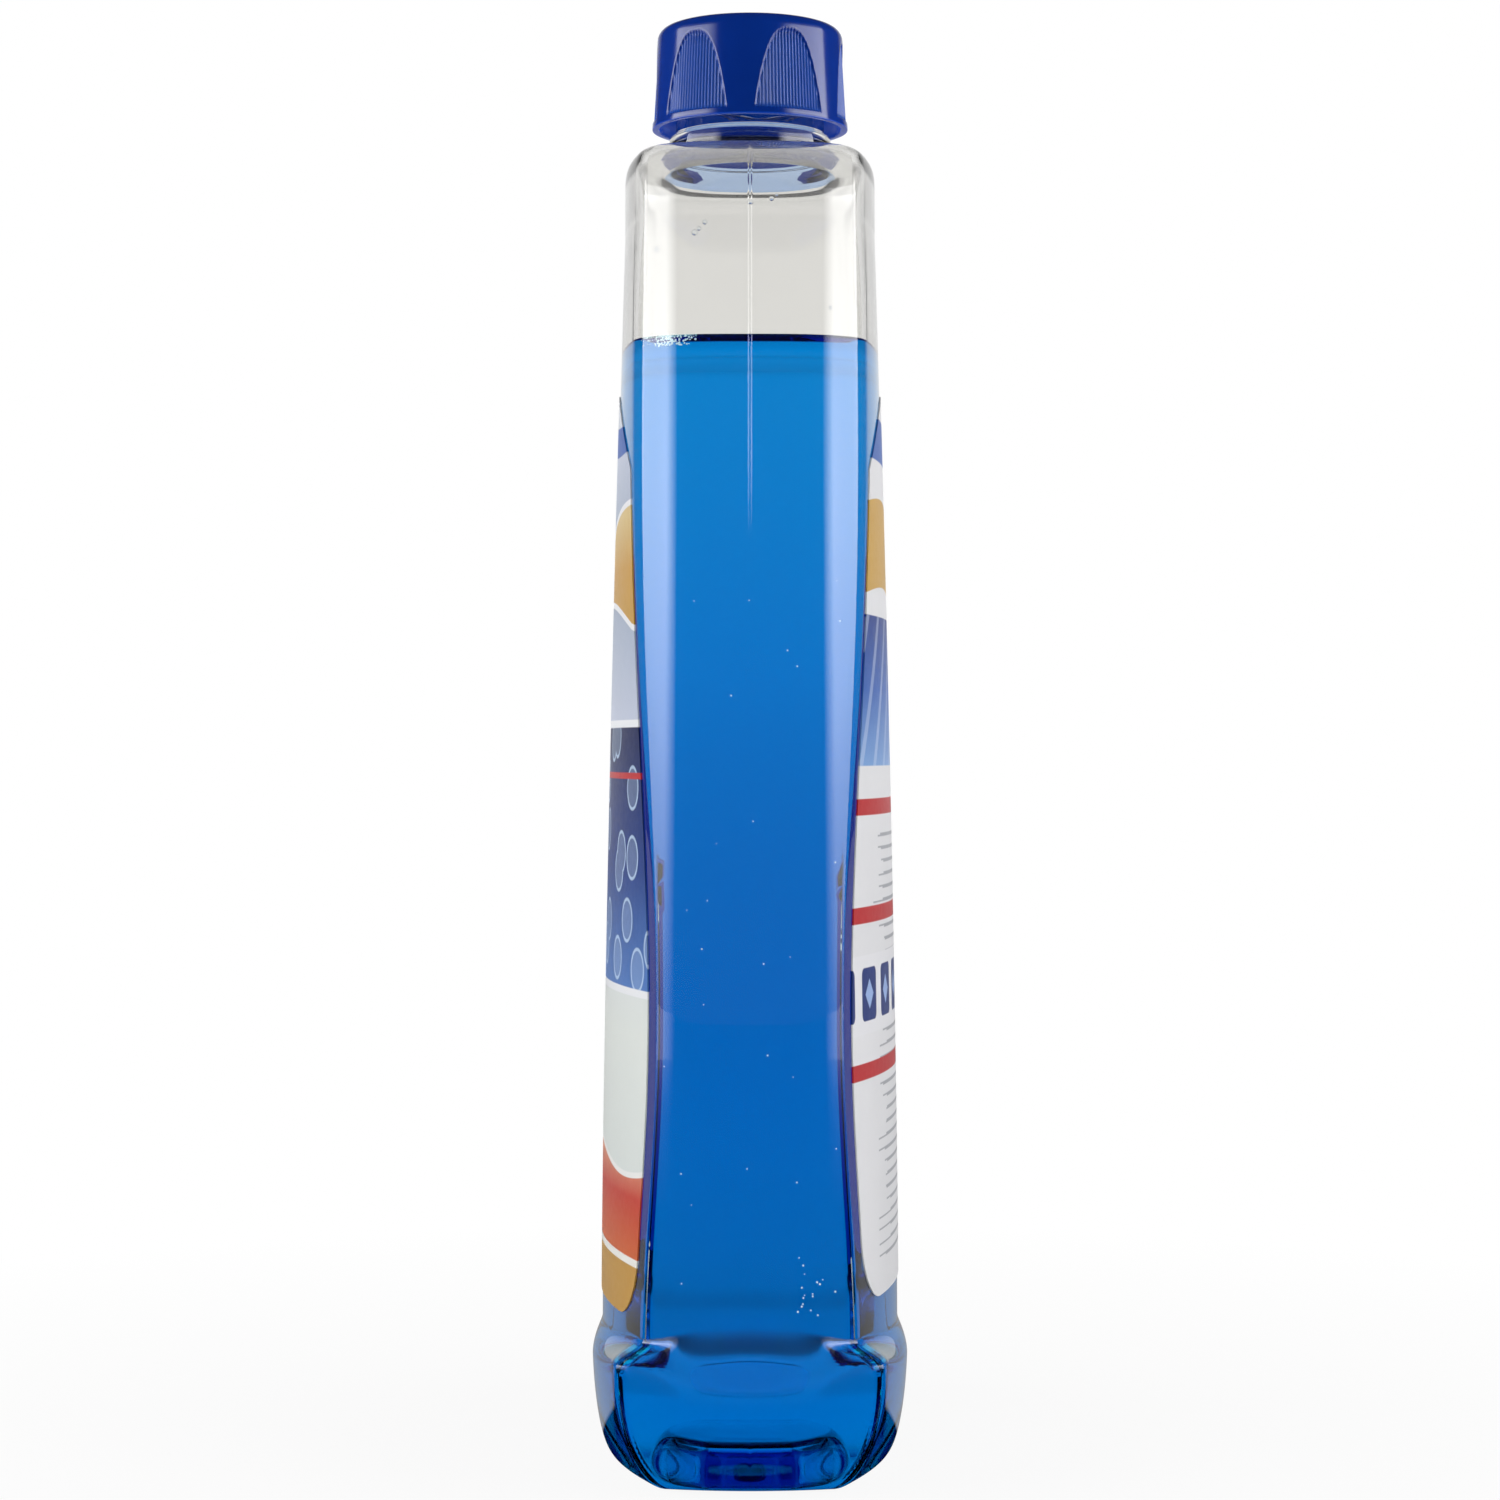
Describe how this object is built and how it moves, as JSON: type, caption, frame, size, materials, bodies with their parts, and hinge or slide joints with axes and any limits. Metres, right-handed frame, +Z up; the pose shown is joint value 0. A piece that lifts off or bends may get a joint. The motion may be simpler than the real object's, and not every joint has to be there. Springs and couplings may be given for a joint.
{
  "type": "all-purpose cleaner bottle",
  "caption": "Clear flat bottle filled with blue liquid cleaner, with a ribbed blue screw cap and an arched label on its front and back.",
  "frame": {"origin": "centre of the base on the surface that the bottle stands on", "axes": "+Z up along the neck, X across the wide faces, -Y towards the front label"},
  "size_m": [0.1018, 0.0526, 0.238],
  "materials": {
    "clear_plastic": "clear glossy blown plastic",
    "blue_liquid": "clear blue liquid",
    "blue_cap": "semi-gloss moulded blue plastic",
    "white_liner": "white foamed wad",
    "front_print": null,
    "back_print": null
  },
  "bodies": {
    "filled_bottle": {"bottle": "clear_plastic", "cleaning_liquid": "blue_liquid", "front_label": "front_print", "back_label": "back_print"},
    "wad": {"cap_liner": "white_liner"},
    "screw_cap": {"cap": "blue_cap"}
  },
  "joints": [
    {"name": "cap_lift", "type": "slide", "parent": "filled_bottle", "child": "wad", "axis": [0, 0, 1], "range_m": [0, 0.00635]},
    {"name": "cap_turn", "type": "hinge", "parent": "wad", "child": "screw_cap", "pos_m": [0, 0, 0.2295], "axis": [0, 0, 1], "range_deg": [0, 540]}
  ],
  "couplings": [
    {"joint": "cap_lift", "follows": "cap_turn", "m_per_rad": 0.00067322}
  ]
}
